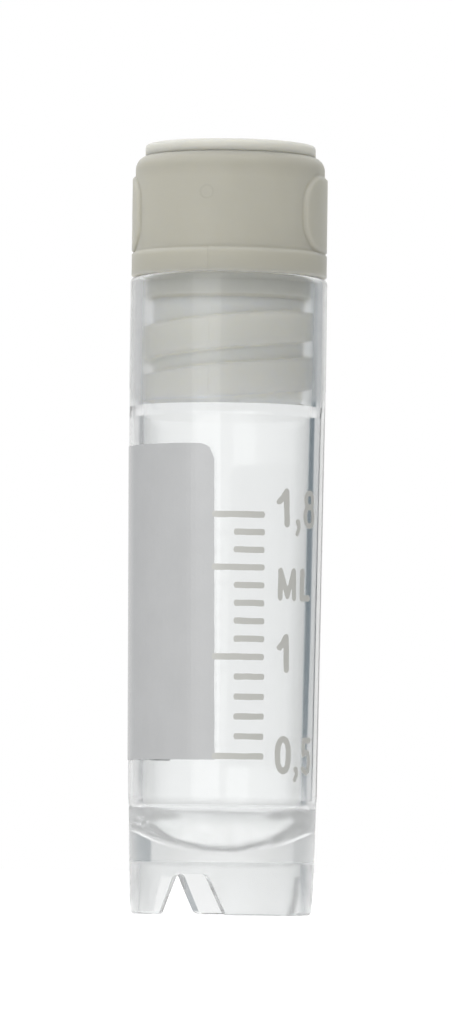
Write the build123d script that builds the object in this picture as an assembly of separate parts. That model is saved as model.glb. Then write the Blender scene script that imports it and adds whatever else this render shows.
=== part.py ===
from build123d import *
import os
from math import cos, radians, sin, tan

# A self-standing screw-cap cryovial with an internal thread. Millimetres, +Z up.
# The origin is the centre of the foot ring, on the surface that the vial stands on.
# Bearings are degrees about +Z, counted from +X; the scale faces -Y, which is -90.

front = -90

# Vial body: one clear polypropylene moulding
tube_diameter = 12.5      # outside, over the neck
tube_length = 40.35       # foot to lip
neck_length = 7.15        # straight outside wall below the lip
neck_step = 0.02          # witness step where the neck insert of the mould ends
tube_draft = 0.55         # degrees a side, below the neck
lip_rounding = 0.35
mouth_chamfer = 0.25
neck_wall = 0.82          # gives the bore that carries the thread
body_wall = 0.9           # at the top of the sample chamber
bore_draft = 0.7          # degrees a side, down to the bowl
bowl_depth = 2.85
bowl_corner = 0.8         # rounding where the bowl meets the bore
floor_thickness = 0.53    # under the lowest point of the bowl
skirt_height = 7.22       # foot to the step at the top of the skirt
skirt_step = 0.03
skirt_draft = 1.35        # degrees a side, outside and inside
skirt_wall = 0.55         # at the foot
base_height = 3.32        # flat underside of the base above the foot
foot_rounding = 0.2

# Three notches in the foot ring, which lock the vial in a rack for one-handed opening
notch_count = 3
notch_bearing = front - 20.7
notch_height = 2.56
notch_foot_width = 4.3
notch_top_width = 2.05
notch_corner = 0.35

# Thread: single start, right-handed. A broad ridge on the plug runs under short ribs in the neck.
thread_pitch = 3.07
thread_end_bearing = front + 68     # where the ridge starts, near the seal
thread_end_drop = 3.1     # lip to the middle of the ridge at that bearing
ridge_height = 2.2        # along the axis, at the root
ridge_flank_angle = 13    # degrees
ridge_flat_drop = 2.33    # lip to the flat that trims the upper end of the ridge
thread_gap = 0.05         # running clearance of the ridge, to the bore and to the ribs
rib_turns = 2             # one rib for each turn of the ridge
rib_bearing = front + 180
rib_span = 120            # degrees
rib_depth = 0.4
rib_crest_height = 0.35
rib_flank_angle = 30
neck_relief = 0.3         # room in the bore under the plug's end
neck_taper = 0.7          # height over which the bore narrows to the chamber

# Screw cap: one natural polypropylene moulding
plug_length = 7.92        # below the lip
plug_play = 0.58          # root of the plug to the bore of the neck
plug_draft = 0.9          # degrees a side
plug_wall = 0.9           # side and end
plug_rounding = 0.25
collar_inset = 0.05       # collar inside the outline of the neck
collar_height = 1.55
collar_chamfer = 0.12
barrel_height = 7.71      # lip to the top face
barrel_wall = 1.37
shoulder_rounding = 0.85
grip_depth = 0.19         # grips and collar proud of the barrel
grip_height = 6.4         # lip to the crown of the arched grips
grip_span = 59            # degrees, each of the two raised grips
grip_bearing = front + 80.5
grip_corner = 1.9         # arch at the upper corners
grip_chamfer = 0.14       # along the arch and the sides

# Insert that closes the cored-out cap
insert_head_inset = 0.6   # edge of the head inside the outline of the barrel
insert_head_height = 0.73
insert_rounding = 0.2
insert_spigot_length = 2.2
insert_wall = 0.8
insert_gap = 0.03         # spigot to the cap

# Silicone ring round the root of the plug
seal_gap = 0.05           # to the plug
seal_play = 0.23          # to the bore of the neck
seal_height = 1.5
seal_chamfer = 0.2        # under the free edge
seal_mouth_gap = 0.08     # to the chamfer of the mouth

# Printed ink: a writing panel and a scale
ink_gap = 0.03            # to the wall, so that the solids stay clear of each other
ink_thickness = 0.025
panel_bottom = 9.8
panel_top = 29.8
panel_edge_bearing = front - 6
panel_span = 134
panel_corner = 1.0
half_ml_height = 10.02    # foot to each long mark
one_ml_height = 16.25
one_and_half_ml_height = 21.82
full_height = 25.12       # at 1.8 mL
marks_per_ml = 10
mark_thickness = 0.42
mark_end_bearing = front + 23.5
short_mark_bearing = front + 4.5

# Derived sizes
tube_radius = tube_diameter / 2
neck_bottom = tube_length - neck_length
bore_radius = tube_radius - neck_wall
crest_radius = bore_radius - thread_gap
plug_root_radius = bore_radius - plug_play
plug_end = tube_length - plug_length
thread_end = tube_length - thread_end_drop
bore_bottom = plug_end - neck_relief
chamber_top = bore_bottom - neck_taper
bowl_bottom = base_height + floor_thickness
bowl_rim = bowl_bottom + bowl_depth
collar_radius = tube_radius - collar_inset
collar_top = tube_length + collar_height
barrel_radius = collar_radius - grip_depth
barrel_top = tube_length + barrel_height
recess_radius = barrel_radius - barrel_wall
long_marks = (
    (0.5, half_ml_height), (1.0, one_ml_height), (1.5, one_and_half_ml_height), (1.8, full_height)
)


def tube_outside(z):
    """Outside radius of the drafted wall between the skirt and the neck."""
    return tube_radius - neck_step - (neck_bottom - z) * tan(radians(tube_draft))


def skirt_outside(z):
    return tube_outside(skirt_height) - skirt_step - (skirt_height - z) * tan(radians(skirt_draft))


def chamber_radius(z):
    top = tube_outside(chamber_top) - body_wall
    return top - (chamber_top - z) * tan(radians(bore_draft))


def plug_radius(z):
    return plug_root_radius - (tube_length - z) * tan(radians(plug_draft))


def at(bearing, radius, z):
    return (radius * cos(radians(bearing)), radius * sin(radians(bearing)), z)


def facing(bearing):
    """An upright plane through the axis that looks outwards along a bearing, with +Y up."""
    out = at(bearing, 1, 0)
    return Plane(origin=(0, 0, 0), x_dir=(-out[1], out[0], 0), z_dir=out)


def rounded(section, corners):
    """Round corners of a half section, each given as (radius from the axis, height, rounding)."""
    for r, z, rounding in corners:
        corner = section.vertices().sort_by_distance(Vertex(r, z, 0))[0]
        section = fillet(corner, rounding)
    return section


def turned(section):
    return revolve(section, Axis.Z)


def disc(radius, bottom, top):
    return Pos(0, 0, bottom) * extrude(Circle(radius), top - bottom)


# ---- thread ----

def ridge_height_at(radius):
    return ridge_height - 2 * (radius - plug_root_radius) * tan(radians(ridge_flank_angle))


def helical_bar(corners, bearing, turns):
    """A bar that climbs from a bearing. Its corners are (radius, height above the middle of the ridge)."""
    rails = [Pos(0, 0, z) * Helix(thread_pitch, turns * thread_pitch, radius) for radius, z in corners]
    sides = [
        Face.make_surface_from_curves(rails[n - 1].edge(), rails[n].edge()) for n in range(len(rails))
    ]
    ends = [Face(Wire.make_polygon([rail @ end for rail in rails])) for end in (0, 1)]
    drop = (thread_end_bearing - bearing) / 360 * thread_pitch
    return Pos(0, 0, thread_end - drop) * Rot(0, 0, bearing) * Solid(Shell(sides + ends))


def ridge():
    """The male ridge: it runs out through the plug's end and is trimmed flat at its upper end."""
    root = plug_radius(plug_end) - plug_wall / 2
    at_root, at_crest = ridge_height_at(root) / 2, ridge_height_at(crest_radius) / 2
    corners = (root, -at_root), (crest_radius, -at_crest), (crest_radius, at_crest), (root, at_root)
    turns = (thread_end - plug_end + ridge_height) / thread_pitch
    bar = helical_bar(corners, thread_end_bearing - 360 * turns, turns)
    return bar & disc(tube_radius, plug_end, tube_length - ridge_flat_drop)


def rib(turn):
    """A female rib: it stands in the gap between two turns of the ridge and holds the lower one down."""
    slope = tan(radians(rib_flank_angle))
    root, crest = bore_radius + neck_wall / 4, bore_radius - rib_depth
    low = ridge_height_at(bore_radius) / 2 + thread_gap + rib_depth * slope
    high = low + rib_crest_height
    flare = (root - crest) * slope
    corners = (root, low - flare), (crest, low), (crest, high), (root, high + flare)
    bar = helical_bar(corners, rib_bearing - rib_span / 2 - 360 * turn, rib_span / 360)
    return bar & disc(tube_radius, bore_bottom, tube_length - ridge_flat_drop)


# ---- vial body ----

def vial_section():
    """Half section of the tube, its round-bottomed bore and its open skirt."""
    skirt_inside_foot = skirt_outside(0) - skirt_wall
    skirt_inside_top = skirt_inside_foot - base_height * tan(radians(skirt_draft))
    rim = chamber_radius(bowl_rim)
    bowl_radius = (rim ** 2 + bowl_depth ** 2) / (2 * bowl_depth)
    middle = bowl_radius - (bowl_radius ** 2 - (rim / 2) ** 2) ** 0.5
    wall = Polyline(
        (0, bowl_bottom),
        (0, base_height),
        (skirt_inside_top, base_height),
        (skirt_inside_foot, 0),
        (skirt_outside(0), 0),
        (skirt_outside(skirt_height), skirt_height),
        (tube_outside(skirt_height), skirt_height),
        (tube_outside(neck_bottom), neck_bottom),
        (tube_radius, neck_bottom),
        (tube_radius, tube_length),
        (bore_radius + mouth_chamfer, tube_length),
        (bore_radius, tube_length - mouth_chamfer),
        (bore_radius, bore_bottom),
        (chamber_radius(chamber_top), chamber_top),
        (rim, bowl_rim),
    )
    bowl = ThreePointArc((rim, bowl_rim), (rim / 2, bowl_bottom + middle), (0, bowl_bottom))
    return rounded(make_face(wall + bowl), (
        (rim, bowl_rim, bowl_corner),
        (tube_radius, tube_length, lip_rounding),
        (skirt_outside(0), 0, foot_rounding),
    ))


def notch(bearing):
    """One flared notch through the foot ring, cut straight out from the axis."""
    trapezoid = Polygon(
        (-notch_foot_width / 2, 0),
        (notch_foot_width / 2, 0),
        (notch_top_width / 2, notch_height),
        (-notch_top_width / 2, notch_height),
        align=None,
    )
    flare = Pos(0, -notch_corner) * Rectangle(2 * notch_foot_width, 2 * notch_corner)
    opening = trapezoid + flare
    corners = [v for v in opening.vertices() if v.Y > -notch_corner]
    opening = fillet(corners, notch_corner)
    return extrude(facing(bearing) * opening, tube_diameter)


def vial_body():
    body = turned(Plane.XZ * vial_section())
    for turn in range(1, rib_turns + 1):
        body += rib(turn)
    for n in range(notch_count):
        body -= notch(notch_bearing + n * 360 / notch_count)
    return body


# ---- screw cap ----

def cap_section():
    core_end = plug_end + plug_wall
    section = Polygon(
        (0, plug_end),
        (plug_radius(plug_end), plug_end),
        (plug_root_radius, tube_length),
        (collar_radius - collar_chamfer, tube_length),
        (collar_radius, tube_length + collar_chamfer),
        (collar_radius, collar_top - collar_chamfer),
        (collar_radius - collar_chamfer, collar_top),
        (barrel_radius, collar_top),
        (barrel_radius, barrel_top),
        (recess_radius, barrel_top),
        (recess_radius, collar_top),
        (plug_radius(collar_top) - plug_wall, collar_top - plug_wall),
        (plug_radius(core_end) - plug_wall, core_end),
        (0, core_end),
        align=None,
    )
    return rounded(section, (
        (plug_radius(plug_end), plug_end, plug_rounding),
        (barrel_radius, barrel_top, shoulder_rounding),
    ))


def grip(bearing):
    """A raised pad on the side of the cap, with an arched top."""
    top = tube_length + grip_height
    width = 2 * collar_radius * sin(radians(grip_span / 2))
    middle = (collar_top + top) / 2
    outline = Pos(0, middle) * Rectangle(width, top - collar_top)
    outline = fillet([v for v in outline.vertices() if v.Y > collar_top], grip_corner)
    pad = extrude(facing(bearing) * outline, 2 * collar_radius) & disc(collar_radius, collar_top, top)
    outer_face = pad.faces().sort_by_distance(at(bearing, collar_radius, middle))[0]
    rim = [edge for edge in outer_face.edges() if edge.center().Z > collar_top + grip_chamfer]
    core = disc(barrel_radius - barrel_wall / 2, collar_top, top)
    return chamfer(rim, grip_chamfer) - core


def screw_cap():
    cap = turned(Plane.XZ * cap_section()) + ridge()
    for side in (0, 180):
        cap += grip(grip_bearing + side)
    return cap


def cap_insert():
    """The disc that snaps into the top of the cap, with a hollow spigot below it."""
    head = barrel_radius - insert_head_inset
    top = barrel_top + insert_head_height
    spigot = recess_radius - insert_gap
    spigot_end = barrel_top - insert_spigot_length
    section = Polygon(
        (0, barrel_top),
        (spigot - insert_wall, barrel_top),
        (spigot - insert_wall, spigot_end),
        (spigot, spigot_end),
        (spigot, barrel_top),
        (head, barrel_top),
        (head, top),
        (0, top),
        align=None,
    )
    return turned(Plane.XZ * rounded(section, ((head, top, insert_rounding),)))


def seal_ring():
    """The ring sits under the flange and flares out over the chamfer of the mouth."""
    inner = plug_root_radius + seal_gap
    outer = bore_radius - seal_play
    flare = bore_radius + mouth_chamfer - seal_mouth_gap
    section = Polygon(
        (inner, tube_length - seal_height),
        (outer - seal_chamfer, tube_length - seal_height),
        (outer, tube_length - seal_height + seal_chamfer),
        (outer, tube_length - (flare - outer)),
        (flare, tube_length),
        (inner, tube_length),
        align=None,
    )
    return turned(Plane.XZ * section)


# ---- print ----

def ink_skin():
    """A skin of ink round the whole outside wall, from the skirt to the neck."""
    low = tube_outside(skirt_height) + ink_gap
    high = tube_outside(neck_bottom) + ink_gap
    section = Polygon(
        (low, skirt_height),
        (high, neck_bottom),
        (high + ink_thickness, neck_bottom),
        (low + ink_thickness, skirt_height),
        align=None,
    )
    return turned(Plane.XZ * section)


def writing_panel():
    """A field for notes that wraps round the left side; its free edge has a rounded top corner."""
    height = panel_top - panel_bottom
    middle = (panel_top + panel_bottom) / 2
    reach = tube_radius / 2
    edge = Pos(-reach / 2, middle) * Rectangle(reach, height)
    edge = rounded(edge, ((0, panel_top, panel_corner),))
    free_end = extrude(facing(panel_edge_bearing) * edge, tube_diameter)
    lap = 10
    block = Plane.XZ * Pos(tube_radius, middle) * Rectangle(tube_radius, height)
    field = Rot(0, 0, panel_edge_bearing - panel_span) * revolve(block, Axis.Z, panel_span - lap)
    return ink_skin() & (free_end + field)


def mark_heights():
    """Each mark's height, and whether it is long. Short marks divide the space between long ones evenly."""
    marks = [(half_ml_height, True)]
    for (low_volume, low), (high_volume, high) in zip(long_marks, long_marks[1:]):
        steps = round((high_volume - low_volume) * marks_per_ml)
        rise = (high - low) / steps
        marks += [(low + n * rise, n == steps) for n in range(1, steps + 1)]
    return marks


def mark(height, is_long):
    start = panel_edge_bearing - 2 if is_long else short_mark_bearing
    middle = (start + mark_end_bearing) / 2
    half_angle = radians(mark_end_bearing - start) / 2
    length = 2 * tube_outside(height) * sin(half_angle)
    bar = Pos(0, height) * Rectangle(length, mark_thickness)
    return extrude(facing(middle) * bar, tube_diameter)


def graduation_marks(panel):
    bars = [mark(height, is_long) for height, is_long in mark_heights()]
    skin = ink_skin()
    return Compound(children=[part for bar in bars for part in ((skin & bar) - panel).solids()])


def main():
    os.makedirs("parts", exist_ok=True)
    panel = writing_panel()
    pieces = {
        "vial_body": vial_body(),
        "screw_cap": screw_cap(),
        "cap_insert": cap_insert(),
        "seal_ring": seal_ring(),
        "writing_panel": panel,
        "graduation_marks": graduation_marks(panel),
    }
    for name, piece in pieces.items():
        export_step(piece, f"parts/{name}.step")


main()
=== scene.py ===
import bmesh
import bpy
import math
from mathutils import Euler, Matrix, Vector


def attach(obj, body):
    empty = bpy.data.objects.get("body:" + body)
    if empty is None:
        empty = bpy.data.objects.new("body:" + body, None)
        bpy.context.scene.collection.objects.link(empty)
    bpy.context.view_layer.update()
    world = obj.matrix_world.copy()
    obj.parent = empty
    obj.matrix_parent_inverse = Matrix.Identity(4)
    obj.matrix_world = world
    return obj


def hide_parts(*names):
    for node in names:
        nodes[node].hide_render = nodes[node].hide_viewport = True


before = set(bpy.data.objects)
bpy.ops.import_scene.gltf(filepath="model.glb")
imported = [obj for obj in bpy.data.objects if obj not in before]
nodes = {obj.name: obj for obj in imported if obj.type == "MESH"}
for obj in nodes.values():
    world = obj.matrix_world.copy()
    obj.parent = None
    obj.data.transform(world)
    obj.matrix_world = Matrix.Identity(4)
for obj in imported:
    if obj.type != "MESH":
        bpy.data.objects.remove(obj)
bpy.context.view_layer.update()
mm = 0.001
print("frame loaded:", ", ".join(sorted(nodes)))


# sRGB hex to linear values, with the alpha full
def hexColour(code):
    channels = [int(code[i:i + 2], 16) / 255 for i in (1, 3, 5)]
    return [c / 12.92 if c <= 0.04045 else ((c + 0.055) / 1.055) ** 2.4 for c in channels] + [1.0]


# adds any node; a socket given another socket is linked, and any other value is set on it
def addNode(tree, kind, sockets=None, **settings):
    node = tree.nodes.new(kind)
    for name, value in settings.items():
        setattr(node, name, value)
    for name, value in (sockets or {}).items():
        if isinstance(value, bpy.types.NodeSocket):
            tree.links.new(value, node.inputs[name])
        else:
            node.inputs[name].default_value = value
    return node


def newMaterial(name):
    material = bpy.data.materials.new(name)
    material.use_nodes = True
    material.node_tree.nodes.clear()
    return material, material.node_tree


def newObject(name, data):
    thing = bpy.data.objects.new(name, data)
    bpy.context.scene.collection.objects.link(thing)
    return thing


def dress(node, material):
    slots = nodes[node].data.materials
    slots.clear()
    slots.append(material)


# a long lens a little above the foot, tilted up; mm and degrees
view = {"distance": 475, "height": 3.5, "aimHeight": 25.44, "aimRight": 0.09, "roll": 0.73,
        "lens": 263.1, "sensor": 36, "nearest": 10}


def makeCamera():
    data = bpy.data.cameras.new("camera")
    data.lens = view["lens"]
    data.sensor_width = view["sensor"]
    data.clip_start = view["nearest"] * mm
    camera = newObject("camera", data)
    tilt = math.atan2(view["aimHeight"] - view["height"], view["distance"])
    camera.location = Vector((view["aimRight"], -view["distance"], view["height"])) * mm
    aim = Euler((math.pi / 2 + tilt, 0, 0)).to_matrix()
    camera.rotation_euler = (aim @ Euler((0, 0, math.radians(view["roll"]))).to_matrix()).to_euler()
    bpy.context.scene.camera = camera


makeCamera()
print("camera set")

# flow lines run up the wall, 1.5 mm apart and 25 mm long; sizes in mm
clear = {"colour": "#FAFBFB", "ior": 1.49, "flowApart": 1.5385, "flowLong": 25, "flowDepth": 0.012}
# roughness: the mould is polished, but its core is duller from the bowl down and at the thread. Whatever lies
# inside coreRadius is the core's; heights and radii in mm
finish = {"polished": 0.055, "bowl": 0.14, "thread": 0.2, "threadFrom": 32.2, "threadFull": 32.6,
          "coreRadius": 5.47, "wallRadius": 5.49}
# share of scattered light: most in the solid base, between its underside and the bowl, and some in the skirt;
# heights in mm
haze = {"tube": 0.02, "base": 0.28, "skirt": 0.1, "baseTop": 7.5, "fullBelow": 6.6,
        "skirtTop": 3.2, "underside": 3.4, "colour": "#F2F3F3", "backward": 0.35}


# Polypropylene, clarified and injection moulded: glossy, nearly colourless, with faint flow lines;
# the thick base cooled slowly, so it is hazier than the tube
def clearPolypropylene():
    material, tree = newMaterial("clearPolypropylene")
    place = addNode(tree, "ShaderNodeTexCoord")
    flowScale = [1 / (size * mm) for size in (clear["flowApart"], clear["flowApart"], clear["flowLong"])]
    stretched = addNode(tree, "ShaderNodeMapping", {"Vector": place.outputs["Object"], "Scale": flowScale})
    flow = addNode(tree, "ShaderNodeTexNoise", {"Vector": stretched.outputs[0], "Scale": 1, "Detail": 2})
    bump = addNode(tree, "ShaderNodeBump", {
        "Height": flow.outputs["Fac"], "Strength": 1, "Distance": clear["flowDepth"] * mm})
    parts = addNode(tree, "ShaderNodeSeparateXYZ", {"Vector": place.outputs["Object"]})
    bowl = addNode(tree, "ShaderNodeMapRange", {
        "Value": parts.outputs["Z"], "From Min": haze["fullBelow"] * mm, "From Max": haze["baseTop"] * mm,
        "To Min": finish["bowl"], "To Max": finish["polished"]}, interpolation_type="SMOOTHSTEP")
    thread = addNode(tree, "ShaderNodeMapRange", {
        "Value": parts.outputs["Z"], "From Min": finish["threadFrom"] * mm,
        "From Max": finish["threadFull"] * mm, "To Min": finish["polished"], "To Max": finish["thread"]})
    core = addNode(tree, "ShaderNodeMath", {0: bowl.outputs[0], 1: thread.outputs[0]}, operation="MAXIMUM")
    level = addNode(tree, "ShaderNodeVectorMath", {0: place.outputs["Object"], 1: (1, 1, 0)},
                    operation="MULTIPLY")
    radius = addNode(tree, "ShaderNodeVectorMath", {0: level.outputs[0]}, operation="LENGTH")
    polish = addNode(tree, "ShaderNodeMapRange", {
        "Value": radius.outputs["Value"], "From Min": finish["coreRadius"] * mm,
        "From Max": finish["wallRadius"] * mm, "To Min": core.outputs[0], "To Max": finish["polished"]})
    surface = addNode(tree, "ShaderNodeBsdfPrincipled", {
        "Base Color": hexColour(clear["colour"]), "Roughness": polish.outputs[0], "IOR": clear["ior"],
        "Transmission Weight": 1.0, "Normal": bump.outputs[0]})
    through = addNode(tree, "ShaderNodeBsdfTranslucent", {"Color": hexColour(haze["colour"])})
    back = addNode(tree, "ShaderNodeBsdfDiffuse", {"Color": hexColour(haze["colour"])})
    scattered = addNode(tree, "ShaderNodeMixShader", {
        0: haze["backward"], 1: through.outputs[0], 2: back.outputs[0]})
    upper = addNode(tree, "ShaderNodeMapRange", {
        "Value": parts.outputs["Z"], "From Min": haze["fullBelow"] * mm, "From Max": haze["baseTop"] * mm,
        "To Min": haze["base"], "To Max": haze["tube"]}, interpolation_type="SMOOTHSTEP")
    lower = addNode(tree, "ShaderNodeMapRange", {
        "Value": parts.outputs["Z"], "From Min": haze["skirtTop"] * mm, "From Max": haze["underside"] * mm,
        "To Min": haze["skirt"], "To Max": haze["base"]})
    share = addNode(tree, "ShaderNodeMath", {0: upper.outputs[0], 1: lower.outputs[0]}, operation="MINIMUM")
    mixed = addNode(tree, "ShaderNodeMixShader", {
        0: share.outputs[0], 1: surface.outputs[0], 2: scattered.outputs[0]})
    addNode(tree, "ShaderNodeOutputMaterial", {"Surface": mixed.outputs[0]})
    return material


def rampStops(ramp, stops):
    band = ramp.color_ramp
    while len(band.elements) < len(stops):
        band.elements.new(0.5)
    for element, (spot, colour) in zip(list(band.elements), stops):
        element.position = spot
        element.color = hexColour(colour)


# the milky plastic; sizes in mm: clouding from uneven cooling, the mould's texture (drawn at 0.12 mm, coarser
# than it is, so that it shows), how far edges are softened, and how deep light goes in
milky = {"cloud": 3.846, "tint": (0.965, 1.03), "grain": 0.125, "grainDepth": 0.004, "softEdge": 0.5,
         "roughness": 0.42, "ior": 1.49, "lightDepth": 2.2, "lightSpread": (1.0, 0.95, 0.8)}
# colours by height in mm: the plug, up to 40.2, is painted paler than the barrel, as painted light for the
# light it takes from all round
capColours = (
    (32.4, "#FFFFFF"), (32.6, "#E8E7E2"), (36.0, "#E4E3DC"), (37.4, "#EBE9E0"), (38.6, "#FFFBF0"),
    (40.2, "#FFFBF0"), (40.5, "#B5B3A7"), (43.5, "#B9B7AB"), (46.4, "#BAB8AC"), (47.4, "#AFADA2"),
)
# the insert is darker towards the top: painted shade that evens out the light from above
insertColours = ((45, "#D6D4CA"), (49, "#CBCAC2"))
# where the cap was gated, and where the halves of its mould met: mm, and bearings in degrees, which count to
# the right of the front here and in all that follows
moulding = {"gateBearing": -14, "gateHeight": 45.4, "gateReach": 5.97, "gateRadius": 0.4, "gateRim": 0.12,
            "partingBearing": -12.6, "partingTop": 41.9, "partingWidth": 0.6875,
            "darkened": 0.95, "raised": 0.01}
# painted light: the plastic between the turns of the plug's ridge is painted palest, for the light that
# gathers there
paintedGrooveLight = {"inside": 4.95, "outside": 5.15, "below": 40.3, "colour": "#FFFBEC"}


# the ring of the gate and the line of the parting, darker and raised, then painted light that makes the
# groove on the plug paler
def capDetails(tree, place, parts, shade, bump):
    bearing = math.radians(moulding["gateBearing"])
    gate = Vector((math.sin(bearing) * moulding["gateReach"], -math.cos(bearing) * moulding["gateReach"],
                   moulding["gateHeight"])) * mm
    away = addNode(tree, "ShaderNodeVectorMath", {0: place.outputs["Object"], 1: gate}, operation="DISTANCE")
    offRing = addNode(tree, "ShaderNodeMath", {0: away.outputs["Value"], 1: moulding["gateRadius"] * mm},
                      operation="SUBTRACT")
    fromRing = addNode(tree, "ShaderNodeMath", {0: offRing.outputs[0]}, operation="ABSOLUTE")
    ring = addNode(tree, "ShaderNodeMapRange", {
        "Value": fromRing.outputs[0], "From Min": 0, "From Max": moulding["gateRim"] * mm,
        "To Min": 1, "To Max": 0}, interpolation_type="SMOOTHSTEP")
    front = addNode(tree, "ShaderNodeMath", {0: parts.outputs["Y"], 1: -1}, operation="MULTIPLY")
    around = addNode(tree, "ShaderNodeMath", {0: parts.outputs["X"], 1: front.outputs[0]},
                     operation="ARCTAN2")
    offLine = addNode(tree, "ShaderNodeMath", {
        0: around.outputs[0], 1: math.radians(moulding["partingBearing"])}, operation="SUBTRACT")
    fromLine = addNode(tree, "ShaderNodeMath", {0: offLine.outputs[0]}, operation="ABSOLUTE")
    line = addNode(tree, "ShaderNodeMapRange", {
        "Value": fromLine.outputs[0], "From Min": 0, "From Max": math.radians(moulding["partingWidth"]),
        "To Min": 1, "To Max": 0}, interpolation_type="SMOOTHSTEP")
    onCollar = addNode(tree, "ShaderNodeMath", {0: parts.outputs["Z"], 1: moulding["partingTop"] * mm},
                       operation="LESS_THAN")
    parting = addNode(tree, "ShaderNodeMath", {0: line.outputs[0], 1: onCollar.outputs[0]},
                      operation="MULTIPLY")
    both = addNode(tree, "ShaderNodeMath", {0: ring.outputs[0], 1: parting.outputs[0]}, operation="MAXIMUM")
    darker = addNode(tree, "ShaderNodeMapRange", {
        "Value": both.outputs[0], "To Min": 1, "To Max": moulding["darkened"]})
    marked = addNode(tree, "ShaderNodeVectorMath", {0: shade.outputs[0], "Scale": darker.outputs[0]},
                     operation="SCALE")
    raised = addNode(tree, "ShaderNodeBump", {
        "Height": both.outputs[0], "Normal": bump.outputs[0], "Strength": 1,
        "Distance": moulding["raised"] * mm})
    level = addNode(tree, "ShaderNodeVectorMath", {0: place.outputs["Object"], 1: (1, 1, 0)},
                    operation="MULTIPLY")
    radius = addNode(tree, "ShaderNodeVectorMath", {0: level.outputs[0]}, operation="LENGTH")
    deep = addNode(tree, "ShaderNodeMapRange", {
        "Value": radius.outputs["Value"], "From Min": paintedGrooveLight["inside"] * mm,
        "From Max": paintedGrooveLight["outside"] * mm, "To Min": 1, "To Max": 0})
    onPlug = addNode(tree, "ShaderNodeMath", {0: parts.outputs["Z"], 1: paintedGrooveLight["below"] * mm},
                     operation="LESS_THAN")
    inGroove = addNode(tree, "ShaderNodeMath", {0: deep.outputs[0], 1: onPlug.outputs[0]},
                       operation="MULTIPLY")
    # painted light: the groove between the ridge's turns is mixed towards a pale colour
    grooveLit = addNode(tree, "ShaderNodeMix", {
        0: inGroove.outputs[0], 6: marked.outputs[0], 7: hexColour(paintedGrooveLight["colour"])}, data_type="RGBA")
    return grooveLit.outputs[2], raised.outputs[0]


# Polypropylene with no dye, moulded in a spark-finished mould: milky, waxy, satin
def naturalPolypropylene(name, colours, isCap):
    material, tree = newMaterial(name)
    place = addNode(tree, "ShaderNodeTexCoord")
    cloud = addNode(tree, "ShaderNodeTexNoise", {
        "Vector": place.outputs["Object"], "Scale": 1 / (milky["cloud"] * mm), "Detail": 3})
    tint = addNode(tree, "ShaderNodeMapRange", {
        "Value": cloud.outputs["Fac"], "To Min": milky["tint"][0], "To Max": milky["tint"][1]})
    parts = addNode(tree, "ShaderNodeSeparateXYZ", {"Vector": place.outputs["Object"]})
    lowest, highest = colours[0][0], colours[-1][0]
    rise = addNode(tree, "ShaderNodeMapRange", {
        "Value": parts.outputs["Z"], "From Min": lowest * mm, "From Max": highest * mm,
        "To Min": 0, "To Max": 1})
    # these colours by height hold painted light on the cap's plug and painted shade on the insert
    byHeight = addNode(tree, "ShaderNodeValToRGB", {"Fac": rise.outputs[0]})
    rampStops(byHeight, [((z - lowest) / (highest - lowest), colour) for z, colour in colours])
    shade = addNode(tree, "ShaderNodeVectorMath", {0: byHeight.outputs["Color"], "Scale": tint.outputs[0]},
                    operation="SCALE")
    grain = addNode(tree, "ShaderNodeTexNoise", {
        "Vector": place.outputs["Object"], "Scale": 1 / (milky["grain"] * mm), "Detail": 2})
    soft = addNode(tree, "ShaderNodeBevel", {"Radius": milky["softEdge"] * mm}, samples=8)
    bump = addNode(tree, "ShaderNodeBump", {
        "Height": grain.outputs["Fac"], "Normal": soft.outputs[0], "Strength": 1,
        "Distance": milky["grainDepth"] * mm})
    colourOut, normalOut = shade.outputs[0], bump.outputs[0]
    if isCap:
        colourOut, normalOut = capDetails(tree, place, parts, shade, bump)
    surface = addNode(tree, "ShaderNodeBsdfPrincipled", {
        "Base Color": colourOut, "Roughness": milky["roughness"], "IOR": milky["ior"],
        "Subsurface Weight": 1.0, "Subsurface Radius": milky["lightSpread"],
        "Subsurface Scale": milky["lightDepth"] * mm, "Normal": normalOut})
    addNode(tree, "ShaderNodeOutputMaterial", {"Surface": surface.outputs[0]})
    return material


# faint clouds about 1 mm across; sizes in mm
silicone = {"colour": "#FFFAD8", "cloud": 1.111, "tint": (0.97, 1.0), "roughness": 0.35, "ior": 1.41,
            "lightDepth": 2.0, "lightSpread": (1.0, 1.0, 0.9)}


# Silicone rubber with no dye, moulded: a soft sheen, and it lets some light through
def clearSilicone():
    material, tree = newMaterial("clearSilicone")
    place = addNode(tree, "ShaderNodeTexCoord")
    cloud = addNode(tree, "ShaderNodeTexNoise", {
        "Vector": place.outputs["Object"], "Scale": 1 / (silicone["cloud"] * mm), "Detail": 2})
    tint = addNode(tree, "ShaderNodeMapRange", {
        "Value": cloud.outputs["Fac"], "To Min": silicone["tint"][0], "To Max": silicone["tint"][1]})
    shade = addNode(tree, "ShaderNodeVectorMath", {
        0: hexColour(silicone["colour"])[:3], "Scale": tint.outputs[0]}, operation="SCALE")
    surface = addNode(tree, "ShaderNodeBsdfPrincipled", {
        "Base Color": shade.outputs[0], "Roughness": silicone["roughness"], "IOR": silicone["ior"],
        "Subsurface Weight": 1.0, "Subsurface Radius": silicone["lightSpread"],
        "Subsurface Scale": silicone["lightDepth"] * mm})
    addNode(tree, "ShaderNodeOutputMaterial", {"Surface": surface.outputs[0]})
    return material


# the print mesh leaves a weave of about 0.1 mm, drawn at 0.15 mm so that it shows; patches of thinner cover
# are about 2.4 mm across
inkCoat = {"panel": "#BABBBC", "scale": "#C0C0BB", "patch": 2.381, "tint": (0.93, 1.05), "weave": 0.15385,
           "weaveDepth": 0.006, "roughness": 0.22, "ior": 1.8}


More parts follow.
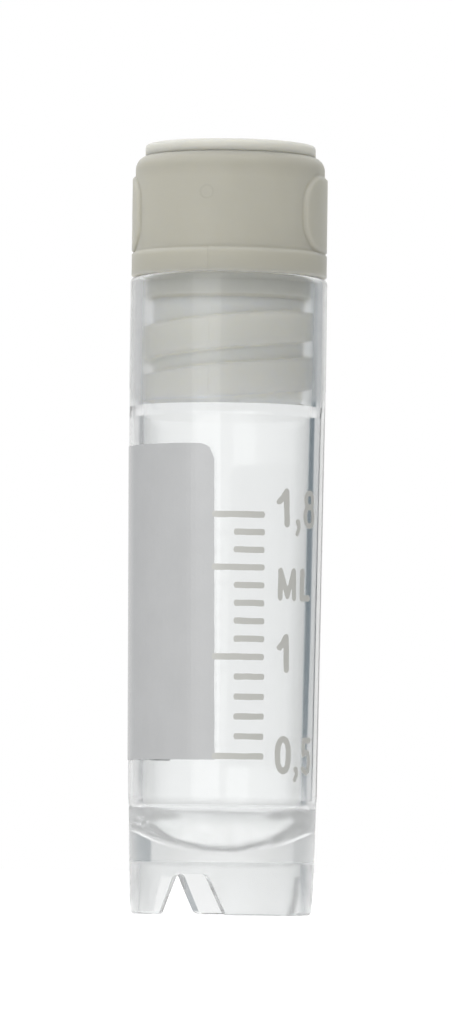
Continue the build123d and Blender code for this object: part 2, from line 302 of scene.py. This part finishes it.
# White screen-printing ink, cured: a soft gloss, a little uneven in cover, with the mark of the mesh
def screenInk(name, colour):
    material, tree = newMaterial(name)
    place = addNode(tree, "ShaderNodeTexCoord")
    patch = addNode(tree, "ShaderNodeTexNoise", {
        "Vector": place.outputs["Object"], "Scale": 1 / (inkCoat["patch"] * mm), "Detail": 4})
    tint = addNode(tree, "ShaderNodeMapRange", {
        "Value": patch.outputs["Fac"], "To Min": inkCoat["tint"][0], "To Max": inkCoat["tint"][1]})
    shade = addNode(tree, "ShaderNodeVectorMath", {
        0: hexColour(colour)[:3], "Scale": tint.outputs[0]}, operation="SCALE")
    weave = addNode(tree, "ShaderNodeTexNoise", {
        "Vector": place.outputs["Object"], "Scale": 1 / (inkCoat["weave"] * mm), "Detail": 2})
    bump = addNode(tree, "ShaderNodeBump", {
        "Height": weave.outputs["Fac"], "Strength": 1, "Distance": inkCoat["weaveDepth"] * mm})
    surface = addNode(tree, "ShaderNodeBsdfPrincipled", {
        "Base Color": shade.outputs[0], "Roughness": inkCoat["roughness"], "IOR": inkCoat["ior"],
        "Normal": bump.outputs[0]})
    addNode(tree, "ShaderNodeOutputMaterial", {"Surface": surface.outputs[0]})
    return material


dress("vial_body", clearPolypropylene())
dress("screw_cap", naturalPolypropylene("naturalPolypropyleneCap", capColours, True))
dress("cap_insert", naturalPolypropylene("naturalPolypropyleneInsert", insertColours, False))
dress("seal_ring", clearSilicone())
panelInk = screenInk("whiteInkPanel", inkCoat["panel"])
scaleInk = screenInk("whiteInkScale", inkCoat["scale"])
print("materials made")

# the print is laid out flat in mm, X along the wall from the front and Y up from the foot, then rolled on;
# it leans a little, as if put on askew, and its edges wander, as ink does. Below the neck the wall has draft,
# in degrees
tube = {"neckRadius": 6.23, "neckBottom": 33.2, "draft": 0.55, "rollRadius": 6.1}
ink = {"gap": 0.012, "thickness": 0.03, "weld": 0.001, "lean": 0.0122, "leanFrom": 17.6, "wobbleSize": 0.9}


def alongWall(bearing):
    return math.radians(bearing) * tube["rollRadius"]


def addSockets(tree, numbers):
    face = tree.interface
    face.new_socket("Geometry", in_out="INPUT", socket_type="NodeSocketGeometry")
    for name in numbers:
        face.new_socket(name, in_out="INPUT", socket_type="NodeSocketFloat")
    face.new_socket("Material", in_out="INPUT", socket_type="NodeSocketMaterial")
    face.new_socket("Geometry", in_out="OUTPUT", socket_type="NodeSocketGeometry")


# a node group that gives flat print its thickness, makes its edges uneven and rolls it onto the drafted wall
def rollGroup():
    tree = bpy.data.node_groups.new("rollOntoTube", "GeometryNodeTree")
    addSockets(tree, ("Thickness", "Wobble", "Seed"))
    given = addNode(tree, "NodeGroupInput")
    back = addNode(tree, "GeometryNodeFlipFaces", {"Mesh": given.outputs["Geometry"]})
    lift = addNode(tree, "ShaderNodeCombineXYZ", {"Z": given.outputs["Thickness"]})
    raised = addNode(tree, "GeometryNodeExtrudeMesh", {
        "Mesh": given.outputs["Geometry"], "Offset": lift.outputs[0], "Offset Scale": 1, "Individual": False})
    joined = addNode(tree, "GeometryNodeJoinGeometry")
    for part in (raised.outputs["Mesh"], back.outputs["Mesh"]):
        tree.links.new(part, joined.inputs[0])
    solid = addNode(tree, "GeometryNodeMergeByDistance", {
        "Geometry": joined.outputs[0], "Distance": ink["weld"] * mm})
    flat = addNode(tree, "GeometryNodeInputPosition")
    flatParts = addNode(tree, "ShaderNodeSeparateXYZ", {"Vector": flat.outputs[0]})
    across = addNode(tree, "ShaderNodeCombineXYZ", {"X": flatParts.outputs["X"], "Y": flatParts.outputs["Y"]})
    waves = addNode(tree, "ShaderNodeTexNoise", {
        "Vector": across.outputs[0], "W": given.outputs["Seed"],
        "Scale": 1 / (ink["wobbleSize"] * mm), "Detail": 1}, noise_dimensions="4D")
    centred = addNode(tree, "ShaderNodeVectorMath", {0: waves.outputs["Color"], 1: (0.5, 0.5, 0.5)},
                      operation="SUBTRACT")
    shift = addNode(tree, "ShaderNodeVectorMath", {0: centred.outputs[0], "Scale": given.outputs["Wobble"]},
                    operation="SCALE")
    shiftParts = addNode(tree, "ShaderNodeSeparateXYZ", {"Vector": shift.outputs[0]})
    height = addNode(tree, "ShaderNodeMath", {0: flatParts.outputs["Y"], 1: shiftParts.outputs["Y"]},
                     operation="ADD")
    rise = addNode(tree, "ShaderNodeMath", {0: height.outputs[0], 1: ink["leanFrom"] * mm},
                   operation="SUBTRACT")
    lean = addNode(tree, "ShaderNodeMath", {0: rise.outputs[0], 1: -ink["lean"], 2: flatParts.outputs["X"]},
                   operation="MULTIPLY_ADD")
    along = addNode(tree, "ShaderNodeMath", {0: lean.outputs[0], 1: shiftParts.outputs["X"]}, operation="ADD")
    turn = addNode(tree, "ShaderNodeMath", {0: along.outputs[0], 1: tube["rollRadius"] * mm},
                   operation="DIVIDE")
    slope = math.tan(math.radians(tube["draft"]))
    wallAtFoot = (tube["neckRadius"] - slope * tube["neckBottom"] + ink["gap"]) * mm
    wall = addNode(tree, "ShaderNodeMath", {0: height.outputs[0], 1: slope, 2: wallAtFoot},
                   operation="MULTIPLY_ADD")
    reach = addNode(tree, "ShaderNodeMath", {0: wall.outputs[0], 1: flatParts.outputs["Z"]}, operation="ADD")
    sine = addNode(tree, "ShaderNodeMath", {0: turn.outputs[0]}, operation="SINE")
    cosine = addNode(tree, "ShaderNodeMath", {0: turn.outputs[0]}, operation="COSINE")
    right = addNode(tree, "ShaderNodeMath", {0: sine.outputs[0], 1: reach.outputs[0]}, operation="MULTIPLY")
    front = addNode(tree, "ShaderNodeMath", {0: cosine.outputs[0], 1: reach.outputs[0]}, operation="MULTIPLY")
    depth = addNode(tree, "ShaderNodeMath", {0: front.outputs[0], 1: -1}, operation="MULTIPLY")
    rolled = addNode(tree, "ShaderNodeCombineXYZ", {
        "X": right.outputs[0], "Y": depth.outputs[0], "Z": height.outputs[0]})
    moved = addNode(tree, "GeometryNodeSetPosition", {
        "Geometry": solid.outputs[0], "Position": rolled.outputs[0]})
    real = addNode(tree, "GeometryNodeRealizeInstances", {"Geometry": moved.outputs[0]})
    painted = addNode(tree, "GeometryNodeSetMaterial", {
        "Geometry": real.outputs[0], "Material": given.outputs["Material"]})
    addNode(tree, "NodeGroupOutput", {"Geometry": painted.outputs[0]})
    return tree


# runs a tree on a mesh and returns the result as a plain mesh
def applyTree(mesh, tree, values):
    holder = newObject("holder", mesh)
    modifier = holder.modifiers.new("nodes", "NODES")
    modifier.node_group = tree
    for item in tree.interface.items_tree:
        if item.item_type == "SOCKET" and item.in_out == "INPUT" and item.name in values:
            modifier[item.identifier] = values[item.name]
    bpy.context.view_layer.update()
    evaluated = holder.evaluated_get(bpy.context.evaluated_depsgraph_get())
    result = bpy.data.meshes.new_from_object(evaluated)
    holder.modifiers.remove(modifier)
    bpy.data.objects.remove(holder)
    return result


def flatMesh(name, verts, faces):
    mesh = bpy.data.meshes.new(name)
    mesh.from_pydata([(x * mm, y * mm, 0) for x, y in verts], [], faces)
    mesh.update()
    return mesh


# the quads of a field of points that were listed column by column
def fieldFaces(columns, rows):
    step = rows + 1
    return [(i * step + j, (i + 1) * step + j, (i + 1) * step + j + 1, i * step + j + 1)
            for i in range(columns) for j in range(rows)]


def placeInk(name, mesh, slotName, *stoodFor):
    piece = newObject(name, mesh)
    for polygon in mesh.polygons:
        polygon.use_smooth = False
    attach(piece, "vial")
    if stoodFor:
        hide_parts(*stoodFor)


rollTree = rollGroup()

panel = {"edge": -6, "span": 134, "bottom": 9.72, "top": 29.55, "corner": 1.0, "cell": 0.3, "wobble": 0.09,
         "seed": 3}


# a field of columns, the last of which are lower so that the free top corner is round
def panelMesh():
    left, right = alongWall(panel["edge"] - panel["span"]), alongWall(panel["edge"])
    columns = round((right - left) / panel["cell"])
    rows = round((panel["top"] - panel["bottom"]) / panel["cell"])
    verts = []
    for i in range(columns + 1):
        x = left + (right - left) * i / columns
        over = max(0, x - (right - panel["corner"])) / panel["corner"]
        top = panel["top"] - panel["corner"] * (1 - math.sqrt(max(0, 1 - over * over)))
        verts += [(x, panel["bottom"] + (top - panel["bottom"]) * j / rows) for j in range(rows + 1)]
    return flatMesh("writingPanel", verts, fieldFaces(columns, rows))


panelResult = applyTree(panelMesh(), rollTree, {
    "Thickness": ink["thickness"] * mm, "Wobble": panel["wobble"] * mm, "Seed": float(panel["seed"]),
    "Material": panelInk})
placeInk("writingPanel", panelResult, "white_ink", "writing_panel")

# bearings of the marks' ends, and the volume and height of the numbered ones; the rest stand evenly between.
# A mark's end is rounded over "rounding" of its thickness; curve and blunt shape it
marks = {
    "end": 24.0, "shortStart": 5.3, "longStart": -7.5, "thickness": 0.38, "wobble": 0.09, "seed": 7,
    "rounding": 0.3, "curve": 1.9, "blunt": 0.03, "columns": 41, "rows": 5,
    "numbered": ((0.5, 9.95), (1.0, 16.18), (1.5, 21.79), (1.8, 25.1)), "perMillilitre": 10,
}


# instances one bar on a point for each mark, rounds its ends and hands the result to the rolling group
def marksTree():
    tree = bpy.data.node_groups.new("scaleMarks", "GeometryNodeTree")
    addSockets(tree, ("Bar Thickness", "Thickness", "Wobble", "Seed"))
    given = addNode(tree, "NodeGroupInput")
    bar = addNode(tree, "GeometryNodeMeshGrid", {
        "Size X": 1, "Size Y": 1, "Vertices X": marks["columns"], "Vertices Y": marks["rows"]})
    unit = addNode(tree, "GeometryNodeInputPosition")
    kept = addNode(tree, "GeometryNodeStoreNamedAttribute", {
        "Geometry": bar.outputs["Mesh"], "Name": "onBar", "Value": unit.outputs[0]}, data_type="FLOAT_VECTOR")
    length = addNode(tree, "GeometryNodeInputNamedAttribute", {"Name": "barLength"}, data_type="FLOAT")
    size = addNode(tree, "ShaderNodeCombineXYZ", {
        "X": length.outputs["Attribute"], "Y": given.outputs["Bar Thickness"], "Z": 1})
    placed = addNode(tree, "GeometryNodeInstanceOnPoints", {
        "Points": given.outputs["Geometry"], "Instance": kept.outputs[0], "Scale": size.outputs[0]})
    real = addNode(tree, "GeometryNodeRealizeInstances", {"Geometry": placed.outputs[0]})
    onBar = addNode(tree, "GeometryNodeInputNamedAttribute", {"Name": "onBar"}, data_type="FLOAT_VECTOR")
    onBarParts = addNode(tree, "ShaderNodeSeparateXYZ", {"Vector": onBar.outputs["Attribute"]})
    side = addNode(tree, "ShaderNodeMath", {0: onBarParts.outputs["X"]}, operation="ABSOLUTE")
    short = addNode(tree, "ShaderNodeMath", {0: 0.5, 1: side.outputs[0]}, operation="SUBTRACT")
    toEnd = addNode(tree, "ShaderNodeMath", {0: short.outputs[0], 1: length.outputs["Attribute"]},
                    operation="MULTIPLY")
    radius = addNode(tree, "ShaderNodeMath", {0: given.outputs["Bar Thickness"], 1: marks["rounding"]},
                     operation="MULTIPLY")
    share = addNode(tree, "ShaderNodeMath", {0: toEnd.outputs[0], 1: radius.outputs[0]}, operation="DIVIDE")
    into = addNode(tree, "ShaderNodeMath", {0: 1, 1: share.outputs[0]}, operation="SUBTRACT", use_clamp=True)
    power = addNode(tree, "ShaderNodeMath", {0: into.outputs[0], 1: marks["curve"]}, operation="POWER")
    left = addNode(tree, "ShaderNodeMath", {0: 1 + marks["blunt"], 1: power.outputs[0]}, operation="SUBTRACT")
    narrow = addNode(tree, "ShaderNodeMath", {0: left.outputs[0], 1: 0.5}, operation="POWER")
    drop = addNode(tree, "ShaderNodeMath", {0: narrow.outputs[0], 1: 1}, operation="SUBTRACT")
    half = addNode(tree, "ShaderNodeMath", {0: onBarParts.outputs["Y"], 1: given.outputs["Bar Thickness"]},
                   operation="MULTIPLY")
    pull = addNode(tree, "ShaderNodeMath", {0: half.outputs[0], 1: drop.outputs[0]}, operation="MULTIPLY")
    offset = addNode(tree, "ShaderNodeCombineXYZ", {"Y": pull.outputs[0]})
    rounded = addNode(tree, "GeometryNodeSetPosition", {
        "Geometry": real.outputs[0], "Offset": offset.outputs[0]})
    rolled = addNode(tree, "GeometryNodeGroup", node_tree=rollTree)
    tree.links.new(rounded.outputs[0], rolled.inputs["Geometry"])
    for name in ("Thickness", "Wobble", "Seed", "Material"):
        tree.links.new(given.outputs[name], rolled.inputs[name])
    # the rolling group ends in Realize Instances and Set Material, so this tree does too
    addNode(tree, "NodeGroupOutput", {"Geometry": rolled.outputs[0]})
    return tree


def marksMesh():
    heights = [(marks["numbered"][0][1], True)]
    for (lowVolume, low), (highVolume, high) in zip(marks["numbered"], marks["numbered"][1:]):
        steps = round((highVolume - lowVolume) * marks["perMillilitre"])
        heights += [(low + (high - low) * n / steps, n == steps) for n in range(1, steps + 1)]
    starts = [alongWall(marks["longStart"] if isLong else marks["shortStart"]) for _, isLong in heights]
    end = alongWall(marks["end"])
    mesh = flatMesh("scaleMarks", [((start + end) / 2, y) for start, (y, _) in zip(starts, heights)], [])
    lengths = mesh.attributes.new("barLength", "FLOAT", "POINT")
    lengths.data.foreach_set("value", [(end - start) * mm for start in starts])
    return mesh


marksResult = applyTree(marksMesh(), marksTree(), {
    "Bar Thickness": marks["thickness"] * mm, "Thickness": ink["thickness"] * mm,
    "Wobble": marks["wobble"] * mm, "Seed": float(marks["seed"]), "Material": scaleInk})
placeInk("scaleMarks", marksResult, "scale_ink", "graduation_marks")

# stroke widths in mm; a glyph gives its strokes, its left and right bearings, and its foot and height
numerals = {
    "stroke": 0.41, "thinner": {"emm": 0.34, "eight": 0.35, "comma": 0.29, "five": 0.37},
    "cell": 0.06, "wobble": 0.08, "seed": 11, "loopSteps": 28, "loopPower": 0.85,
    "glyphs": (
        ("one", 31.7, 41.2, 24.35, 2.45), ("comma", 46.0, 50.2, 23.83, 1.06),
        ("eight", 53.1, 64.9, 24.35, 2.42),
        ("emm", 33.0, 46.9, 19.75, 2.07), ("ell", 50.3, 60.8, 19.75, 2.07),
        ("one", 32.4, 41.6, 15.22, 2.45),
        ("nought", 31.7, 43.9, 8.87, 2.4), ("comma", 46.2, 50.4, 8.4, 0.98),
        ("five", 53.7, 64.6, 8.82, 2.4),
    ),
}


# a closed loop of a stroke; a power under 1 squares the ellipse up
def loop(x, y, halfWidth, halfHeight):
    steps, power = numerals["loopSteps"], numerals["loopPower"]
    points = []
    for n in range(steps + 1):
        turn = math.tau * n / steps
        across = math.copysign(abs(math.cos(turn)) ** power, math.cos(turn))
        up = math.copysign(abs(math.sin(turn)) ** power, math.sin(turn))
        points.append((x + halfWidth * across, y + halfHeight * up))
    return points


# the middle lines of the strokes, in a box of 1 by 1
strokes = {
    "one": [[(0, 0.69), (0.5, 0.82), (0.93, 1), (1, 0)]],
    "comma": [[(0.2, 1), (0.9, 0.98), (1, 0.45), (0, 0)], [(0.3, 0.84), (0.9, 0.84)]],
    "eight": [loop(0.5, 0.79, 0.43, 0.21), loop(0.5, 0.29, 0.5, 0.29)],
    "nought": [loop(0.5, 0.5, 0.5, 0.5)],
    "five": [[(0.95, 1), (0.1, 1), (0.04, 0.56), (0.4, 0.64), (0.8, 0.58), (1, 0.34), (0.85, 0.08), (0.5, 0),
              (0, 0.1)]],
    "emm": [[(0, 0), (0.03, 1), (0.5, 0.06), (0.97, 1), (1, 0)]],
    "ell": [[(0.05, 1), (0, 0), (1, 0.02)]],
}


# the shortest way to a spot from the paths, as a vector
def nearest(spot, paths):
    best = None
    for path in paths:
        for start, end in zip(path, path[1:]):
            run = end - start
            share = max(0, min(1, (spot - start).dot(run) / run.length_squared))
            gap = spot - (start + run * share)
            if best is None or gap.length < best.length:
                best = gap
    return best


# a glyph as a flat field of small cells, whose edge cells are pulled onto the outline of the strokes
def glyphMesh(glyph, leftBearing, rightBearing, bottom, height):
    half = numerals["thinner"].get(glyph, numerals["stroke"]) / 2
    cell = numerals["cell"]
    left, right = alongWall(leftBearing), alongWall(rightBearing)
    wide, tall = right - left - 2 * half, height - 2 * half
    paths = [[Vector((left + half + x * wide, bottom + half + y * tall)) for x, y in path]
             for path in strokes[glyph]]
    columns, rows = math.ceil((right - left) / cell) + 2, math.ceil(height / cell) + 2
    verts, inside = [], []
    for i in range(columns + 1):
        for j in range(rows + 1):
            spot = Vector((left + (i - 1) * cell, bottom + (j - 1) * cell))
            gap = nearest(spot, paths)
            over = gap.length - half
            if abs(over) < 0.5 * cell:
                spot -= gap.normalized() * over
            verts.append(spot)
            inside.append(over < 0.5 * cell)
    faces = [face for face in fieldFaces(columns, rows) if all(inside[v] for v in face)]
    mesh = flatMesh(glyph, verts, faces)
    shape = bmesh.new()
    shape.from_mesh(mesh)
    bmesh.ops.delete(shape, geom=[v for v in shape.verts if not v.link_faces], context="VERTS")
    shape.to_mesh(mesh)
    shape.free()
    return mesh


for index, glyph in enumerate(numerals["glyphs"]):
    glyphResult = applyTree(glyphMesh(*glyph), rollTree, {
        "Thickness": ink["thickness"] * mm, "Wobble": numerals["wobble"] * mm,
        "Seed": float(numerals["seed"] + index), "Material": scaleInk})
    placeInk(f"numeral{index + 1}", glyphResult, "scale_ink")
print("print laid on the tube")

# the white tent round the object: colours by the angle from straight behind it, in degrees, with a dark gap
# beside the backdrop on each side. The bands reach up to bandTop and fade into the tent's white by aboveFrom.
# The light from above has its own level, less towards the right and more along the line of sight
room = {
    "right": (
        (0, "#FFFFFF"), (8, "#FFFFFF"), (13, "#F4F4F4"), (20, "#E6E6E5"), (36.5, "#D8D9DA"), (38, "#68757D"),
        (52, "#68757D"), (62, "#9A9EA0"), (90, "#9C9D9D"), (140, "#D8D8D7"), (180, "#EEEEED"),
    ),
    "left": (
        (8, "#FFFFFF"), (13, "#F4F4F4"), (20, "#E6E6E5"), (37, "#D8D9DA"),
        (39, "#AEB0B1"), (52, "#AEB0B1"), (70, "#B8B8B8"), (100, "#CCCCCB"), (140, "#FAFAF8"),
    ),
    "bandTop": 9, "aboveFrom": 32, "above": 0.9, "toLeft": 0.33, "alongView": 0.5,
}


def makeRoom():
    world = bpy.data.worlds.new("studio")
    bpy.context.scene.world = world
    world.use_nodes = True
    tree = world.node_tree
    tree.nodes.clear()
    place = addNode(tree, "ShaderNodeTexCoord")
    parts = addNode(tree, "ShaderNodeSeparateXYZ", {"Vector": place.outputs["Generated"]})
    angle = addNode(tree, "ShaderNodeMath", {0: parts.outputs["X"], 1: parts.outputs["Y"]},
                    operation="ARCTAN2")
    turned = addNode(tree, "ShaderNodeMapRange", {
        "Value": angle.outputs[0], "From Min": -math.pi, "From Max": math.pi, "To Min": 0, "To Max": 1})
    ramp = addNode(tree, "ShaderNodeValToRGB", {"Fac": turned.outputs[0]})
    stops = [(0.5 + a / 360, c) for a, c in room["right"]] + [(0.5 - a / 360, c) for a, c in room["left"]]
    rampStops(ramp, sorted(stops))
    up = addNode(tree, "ShaderNodeMapRange", {
        "Value": parts.outputs["Z"], "From Min": math.sin(math.radians(room["bandTop"])),
        "From Max": math.sin(math.radians(room["aboveFrom"])), "To Min": 0, "To Max": 1},
        interpolation_type="SMOOTHSTEP")
    tent = addNode(tree, "ShaderNodeMix", {
        0: up.outputs[0], 6: ramp.outputs["Color"], 7: (1, 1, 1, 1)}, data_type="RGBA")
    along = addNode(tree, "ShaderNodeMath", {0: parts.outputs["Y"]}, operation="ABSOLUTE")
    ends = addNode(tree, "ShaderNodeMath", {0: along.outputs[0], 1: room["alongView"], 2: room["above"]},
                   operation="MULTIPLY_ADD")
    above = addNode(tree, "ShaderNodeMath", {0: parts.outputs["X"], 1: -room["toLeft"], 2: ends.outputs[0]},
                    operation="MULTIPLY_ADD")
    strength = addNode(tree, "ShaderNodeMapRange", {
        "Value": up.outputs[0], "To Min": 1, "To Max": above.outputs[0]})
    studio = addNode(tree, "ShaderNodeBackground", {
        "Color": tent.outputs[2], "Strength": strength.outputs[0]})
    # what the camera sees straight on is plain white
    path = addNode(tree, "ShaderNodeLightPath")
    backdrop = addNode(tree, "ShaderNodeBackground", {"Color": (1, 1, 1, 1), "Strength": 1})
    mixed = addNode(tree, "ShaderNodeMixShader", {
        0: path.outputs["Is Camera Ray"], 1: studio.outputs[0], 2: backdrop.outputs[0]})
    addNode(tree, "ShaderNodeOutputWorld", {"Surface": mixed.outputs[0]})


# the table's matt part keeps the object's shadow, and a glow lifts it to white: by "seen" where the camera
# looks at it, and in gloss and through the plastic by "near" under the object, falling to "far"; sizes in mm
table = {"halfWidth": 1500, "colour": "#D8D8D8", "matt": 0.42, "seen": 0.78,
         "near": 1.25, "far": 0.48, "nearRadius": 20, "farRadius": 80}


def makeFloor():
    half = table["halfWidth"]
    corners = [(-half, -half), (half, -half), (half, half), (-half, half)]
    floor = newObject("floor", flatMesh("floor", corners, [(0, 1, 2, 3)]))
    material, tree = newMaterial("paleFloor")
    plain = addNode(tree, "ShaderNodeBsdfDiffuse", {"Color": hexColour(table["colour"])})
    place = addNode(tree, "ShaderNodeTexCoord")
    away = addNode(tree, "ShaderNodeVectorMath", {0: place.outputs["Object"]}, operation="LENGTH")
    byPlace = addNode(tree, "ShaderNodeMapRange", {
        "Value": away.outputs["Value"], "From Min": table["nearRadius"] * mm,
        "From Max": table["farRadius"] * mm, "To Min": table["near"], "To Max": table["far"]})
    path = addNode(tree, "ShaderNodeLightPath")
    glow = addNode(tree, "ShaderNodeMapRange", {
        "Value": path.outputs["Is Camera Ray"], "To Min": byPlace.outputs[0], "To Max": table["seen"]})
    light = addNode(tree, "ShaderNodeEmission", {"Color": (1, 1, 1, 1), "Strength": glow.outputs[0]})
    matt = addNode(tree, "ShaderNodeBsdfDiffuse", {"Color": [table["matt"]] * 3 + [1]})
    white = addNode(tree, "ShaderNodeAddShader", {0: matt.outputs[0], 1: light.outputs[0]})
    direct = addNode(tree, "ShaderNodeMath", {
        0: path.outputs["Is Camera Ray"], 1: path.outputs["Is Glossy Ray"]}, operation="MAXIMUM")
    seen = addNode(tree, "ShaderNodeMath", {0: direct.outputs[0], 1: path.outputs["Is Transmission Ray"]},
                   operation="MAXIMUM")
    mixed = addNode(tree, "ShaderNodeMixShader", {
        0: seen.outputs[0], 1: plain.outputs[0], 2: white.outputs[0]})
    addNode(tree, "ShaderNodeOutputMaterial", {"Surface": mixed.outputs[0]})
    floor.data.materials.append(material)


# one tall softbox at the front left; from and to are where its sides stand, in degrees to the left of the
# front, and the rest is in mm. Level 1 is as bright as the white of the tent
softbox = {"from": 10.5, "to": 41.0, "distance": 350, "height": 420, "middle": 60, "level": 0.95}


def makeSoftbox():
    ends = []
    for angle in (math.radians(softbox["from"]), math.radians(softbox["to"])):
        reach = softbox["distance"] * mm
        ends.append(Vector((-math.sin(angle) * reach, -math.cos(angle) * reach, softbox["middle"] * mm)))
    data = bpy.data.lights.new("softbox", "AREA")
    data.shape = "RECTANGLE"
    data.size = (ends[1] - ends[0]).length
    data.size_y = softbox["height"] * mm
    data.energy = softbox["level"] * math.pi * data.size * data.size_y
    lamp = newObject("softbox", data)
    lamp.location = (ends[0] + ends[1]) / 2
    inward = Vector((-lamp.location.x, -lamp.location.y, 0))
    lamp.rotation_euler = inward.to_track_quat("-Z", "Z").to_euler()


makeRoom()
makeFloor()
makeSoftbox()
bpy.context.scene.view_settings.view_transform = "Standard"
print("stage lit")
